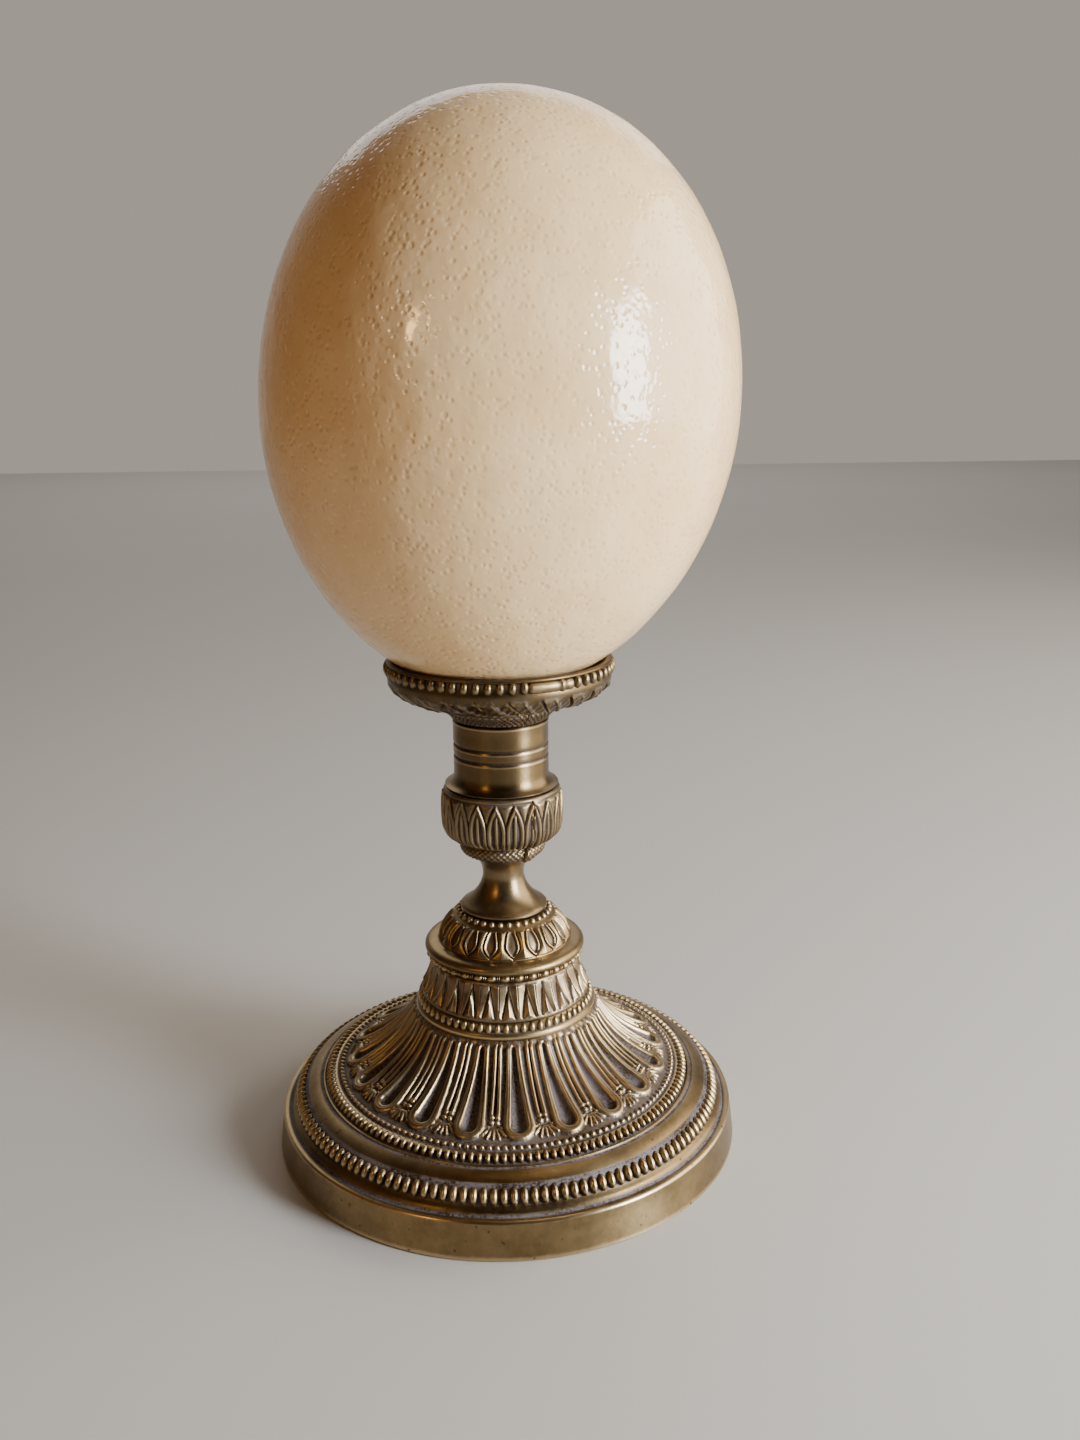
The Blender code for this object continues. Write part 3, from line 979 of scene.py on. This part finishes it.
thickness -= 0.45 * step_up(bar_share, 0.95, 1.0)
flat_radius = np.hypot(bar_place[:, 0], bar_place[:, 1])
swollen = BAR_RADIUS + (flat_radius - BAR_RADIUS) * thickness
bar_place[:, :2] *= (swollen / flat_radius)[:, None]
bar_place[:, 2] = BAR_HEIGHT + (bar_place[:, 2] - BAR_HEIGHT) * thickness
move_points(rim_bar, bar_place)
write_hollow(rim_bar, 0.9 * hump(before_tie / 0.05) + 0.9 * hump(after_tie / 0.05) - 0.4)
smooth(rim_bar, 60)
antique_brass(rim_bar, dust=0.2, gloom=0.30)
settle(rim_bar, "drip_pan")

# ---------------------------------------------------------------------------------------
# The egg: a whole ostrich egg, cream and glossy, with shallow dimples and fine pores all
# over. It is blunter above, and it leans a little in the pan's mouth.
# ---------------------------------------------------------------------------------------
EGG_RADIUS = 63.0
EGG_HALVES = (77.7, 76.9)  # below and above its widest part
EGG_FULLNESS = (1.93, 2.08)
EGG_CENTRE = Vector((1.65, 0.0, 212.6))
EGG_LEAN_DEG = 4.8
DIMPLES = 5200
DIMPLE_REACH, DIMPLE_DEPTH = 1.25, 0.05

bpy.ops.object.select_all(action="DESELECT")
bpy.ops.mesh.primitive_cube_add(size=2.0, location=(0.0, 0.0, 0.0))
egg = bpy.context.object
egg.name = egg.data.name = "egg_shell"
bpy.ops.object.mode_set(mode="EDIT")
bpy.ops.mesh.select_all(action="SELECT")
bpy.ops.mesh.subdivide(number_cuts=125)
bpy.ops.object.mode_set(mode="OBJECT")
grid = np.tan(np.clip(places_of(egg), -1, 1) * math.pi / 4)
ball = grid / np.linalg.norm(grid, axis=1, keepdims=True)
above = ball[:, 2] > 0
level = np.arcsin(np.clip(ball[:, 2], -1, 1))
fullness = np.where(above, EGG_FULLNESS[1], EGG_FULLNESS[0])
half = np.where(above, EGG_HALVES[1], -EGG_HALVES[0])
round_radius = EGG_RADIUS * np.cos(level) ** (2 / fullness)
flat = np.maximum(np.hypot(ball[:, 0], ball[:, 1]), 1e-9)
shell = np.stack(
    [
        round_radius * ball[:, 0] / flat,
        round_radius * ball[:, 1] / flat,
        half * np.abs(np.sin(level)) ** (2 / fullness),
    ],
    axis=1,
)
draws = np.random.default_rng(11)
height = np.zeros(len(shell))
for _ in range(14):
    heading = draws.normal(size=3)
    heading /= np.linalg.norm(heading)
    wavelength = draws.uniform(9.0, 26.0)
    height += 0.012 * np.sin(shell @ heading * math.tau / wavelength + draws.uniform(0, math.tau))
spots = shell[draws.choice(len(shell), DIMPLES, replace=False)]
depths = draws.uniform(0.35, 1.0, DIMPLES)
order = np.argsort(shell[:, 2])
sorted_heights = shell[order, 2]
for spot, depth in zip(spots, depths):
    span = (spot[2] - DIMPLE_REACH, spot[2] + DIMPLE_REACH)
    first, last = np.searchsorted(sorted_heights, span)
    near = order[first:last]
    distance = np.linalg.norm(shell[near] - spot, axis=1)
    near, distance = near[distance < DIMPLE_REACH], distance[distance < DIMPLE_REACH]
    height[near] -= DIMPLE_DEPTH * depth * hump(distance / DIMPLE_REACH)
shell *= 1 + (height / np.linalg.norm(shell, axis=1))[:, None]
lean = np.array(Matrix.Rotation(math.radians(EGG_LEAN_DEG), 3, "Y"))
shell = shell @ lean.T + np.array(EGG_CENTRE)
move_points(egg, shell * MM)
smooth(egg, 180)

egg_finish = Finish(bpy.data.materials.new("egg_shell_glaze"))
pits = 1.0
for size, shift in ((0.0028, 0.0), (0.0031, 1.7), (0.0024, 3.1)):
    shifted = egg_finish.add(
        "ShaderNodeVectorMath", {"operation": "ADD"}, {0: egg_finish.place, 1: (shift, shift, 0)}
    )
    pit = egg_finish.add(
        "ShaderNodeTexVoronoi",
        {"feature": "F1"},
        {"Vector": shifted, "Scale": 1 / size},
        "Distance",
    )
    pits = pits * pit.between(0.02, 0.34)
patch = egg_finish.noise(0.020, 3.0, 0.55)
skin = egg_finish.noise(0.006, 2.0, 0.5)
pitted = (1.0 - pits) * skin.between(0.30, 0.60, 0.5, 1.0)
shade = egg_finish.blend(patch.between(0.3, 0.7), (0.84, 0.560, 0.272), (0.90, 0.632, 0.338))
shade = egg_finish.blend(skin.between(0.45, 0.75) * 0.2, shade, (0.78, 0.50, 0.26))
shade = egg_finish.blend(pitted * 0.22, shade, (0.52, 0.32, 0.15))
relief = egg_finish.bump(skin, 0.00025)
relief = egg_finish.bump(1.0 - pitted, 0.00011, relief)
egg_finish.done(
    egg,
    Base_Color=shade,
    Roughness=0.10 + skin * 0.06 + pitted * 0.06,
    Normal=relief,
    Subsurface_Weight=0.10,
    Subsurface_Radius=(1.0, 0.55, 0.3),
    Subsurface_Scale=0.003,
    IOR=1.52,
)
settle(egg, "egg")


# ---------------------------------------------------------------------------------------
# The fixings under the foot: a threaded steel rod up the middle, and the washer and nut
# that pull the stack together. They are dull and a little rusty.
# ---------------------------------------------------------------------------------------
def dull_steel(piece):
    """Plain steel that has stood under the foot for years."""
    finish = Finish(bpy.data.materials.new(piece.name + "_steel"))
    rust = finish.noise(0.0015, 4.0, 0.6).between(0.52, 0.72)
    base = finish.blend(rust, (0.33, 0.32, 0.30), (0.20, 0.10, 0.05))
    scratch = finish.noise(0.0004, 2.0, 0.6)
    finish.done(
        piece,
        Base_Color=base,
        Roughness=0.36 + rust * 0.35 + scratch * 0.08,
        Metallic=1.0 - rust * 0.7,
        Normal=finish.bump(scratch, 0.00003),
    )


THREAD_PITCH = 0.8
THREAD_TURNS = 98
THREAD_COLUMNS = 24
ROD_BOTTOM, ROD_TOP = 31.0, 110.2
THREAD_BOTTOM, THREAD_TOP = 31.35, 109.7  # the rod's ends beyond these are plain
ROOT_RADIUS, CREST_RADIUS = 2.1, 2.5
rod_outline = [(0.05, ROD_BOTTOM), (2.0, ROD_BOTTOM), (ROOT_RADIUS, ROD_BOTTOM + 0.2)]
for crest in range(THREAD_TURNS):
    root_at = 31.5 + crest * THREAD_PITCH
    rod_outline += [(ROOT_RADIUS, root_at), (CREST_RADIUS, root_at + THREAD_PITCH / 2)]
rod_outline += [(ROOT_RADIUS, 109.9), (2.0, ROD_TOP), (0.05, ROD_TOP)]
tie_rod = turn("threaded_rod", rod_outline, THREAD_COLUMNS)
rod_place = places_of(tie_rod)
threaded = (rod_place[:, 2] > THREAD_BOTTOM * MM) & (rod_place[:, 2] < THREAD_TOP * MM)
around = np.arctan2(rod_place[:, 1], rod_place[:, 0]) / math.tau
rod_place[threaded, 2] += (around * THREAD_PITCH * 0.5 * MM)[threaded]
move_points(tie_rod, rod_place)
bpy.ops.object.mode_set(mode="EDIT")
bpy.ops.mesh.select_all(action="SELECT")
bpy.ops.mesh.fill_holes(sides=THREAD_COLUMNS)
bpy.ops.mesh.normals_make_consistent(inside=False)
bpy.ops.object.mode_set(mode="OBJECT")
smooth(tie_rod, 20)
dull_steel(tie_rod)
settle(tie_rod, "tie_rod")
for fixing in ("washer", "nut"):
    dull_steel(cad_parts[fixing])

# ---------------------------------------------------------------------------------------
# The room: a plain pale floor; a tall soft window on the right with a wide warmer one
# behind it, a wide dim warm light on the left, a small warm lamp in front and a ceiling
# light at the back; and the camera a little above the egg's middle.
# ---------------------------------------------------------------------------------------
bpy.ops.object.select_all(action="DESELECT")
bpy.ops.mesh.primitive_plane_add(size=6.0, location=(0.0, 0.0, 0.0))
floor = bpy.context.object
floor.name = "floor"
floor_finish = Finish(bpy.data.materials.new("pale_floor"))
floor_cloud = floor_finish.noise(0.4, 2.0, 0.5)
floor_tint = floor_finish.blend(floor_cloud, (0.49, 0.47, 0.445), (0.53, 0.51, 0.48))
floor_finish.done(floor, Base_Color=floor_tint, Roughness=0.6)


def soft_light(name, place, size, power, tint, aim=Vector((0.0, 0.0, 0.19))):
    """A rectangular softbox that faces the egg, or another spot."""
    light = bpy.data.lights.new(name, "AREA")
    light.shape = "RECTANGLE"
    light.size, light.size_y = size
    light.energy = power
    light.color = tint
    holder = bpy.data.objects.new(name, light)
    bpy.context.scene.collection.objects.link(holder)
    holder.location = place
    holder.rotation_euler = (Vector(place) - aim).to_track_quat("Z", "Y").to_euler()


soft_light("window", (0.78, -0.47, 0.34), (0.28, 0.50), 21.0, (0.88, 0.94, 1.0))
soft_light("far_window", (1.05, 0.10, 0.50), (1.0, 1.0), 15.0, (1.0, 0.91, 0.78))
soft_light("warm_fill", (-0.95, -0.35, 0.50), (1.0, 1.0), 0.45, (1.0, 0.40, 0.06))
soft_light("lamp", (-0.52, -0.62, 0.52), (0.06, 0.07), 0.8, (1.0, 0.58, 0.20))
soft_light("ceiling", (0.0, 2.6, 1.6), (2.6, 2.0), 22.0, (1.0, 0.97, 0.93), Vector((0.0, 2.4, 0.0)))

room = Finish(bpy.data.worlds.new("room"), "Generated")
bpy.context.scene.world = room.owner
to_right_and_back = room.add(
    "ShaderNodeVectorMath",
    {"operation": "DOT_PRODUCT"},
    {0: room.place, 1: (0.45, 0.89, 0.0)},
    "Value",
)
towards_right = to_right_and_back.between(-0.2, 0.7)
room_tint = room.blend(towards_right, (0.030, 0.020, 0.012), (0.66, 0.59, 0.51))
room_glow = room.add("ShaderNodeBackground", None, {"Color": room_tint, "Strength": 0.6})
room_outlet = room.tree.nodes.new("ShaderNodeOutputWorld")
room.tree.links.new(room_glow.socket, room_outlet.inputs["Surface"])

camera_data = bpy.data.cameras.new("camera")
camera_data.lens = 32.5
camera_data.sensor_width = 36.0
camera = bpy.data.objects.new("camera", camera_data)
bpy.context.scene.collection.objects.link(camera)
CAMERA_PLACE = Vector((0.0, -0.355, 0.2193))
PITCH_DEG, YAW_DEG, ROLL_DEG = 14.76, 1.8, -0.62
facing = Euler((math.radians(90 - PITCH_DEG), 0.0, math.radians(-YAW_DEG))).to_matrix()
facing = facing @ Matrix.Rotation(math.radians(ROLL_DEG), 3, "Z")
camera.matrix_world = Matrix.Translation(CAMERA_PLACE) @ facing.to_4x4()
bpy.context.scene.camera = camera
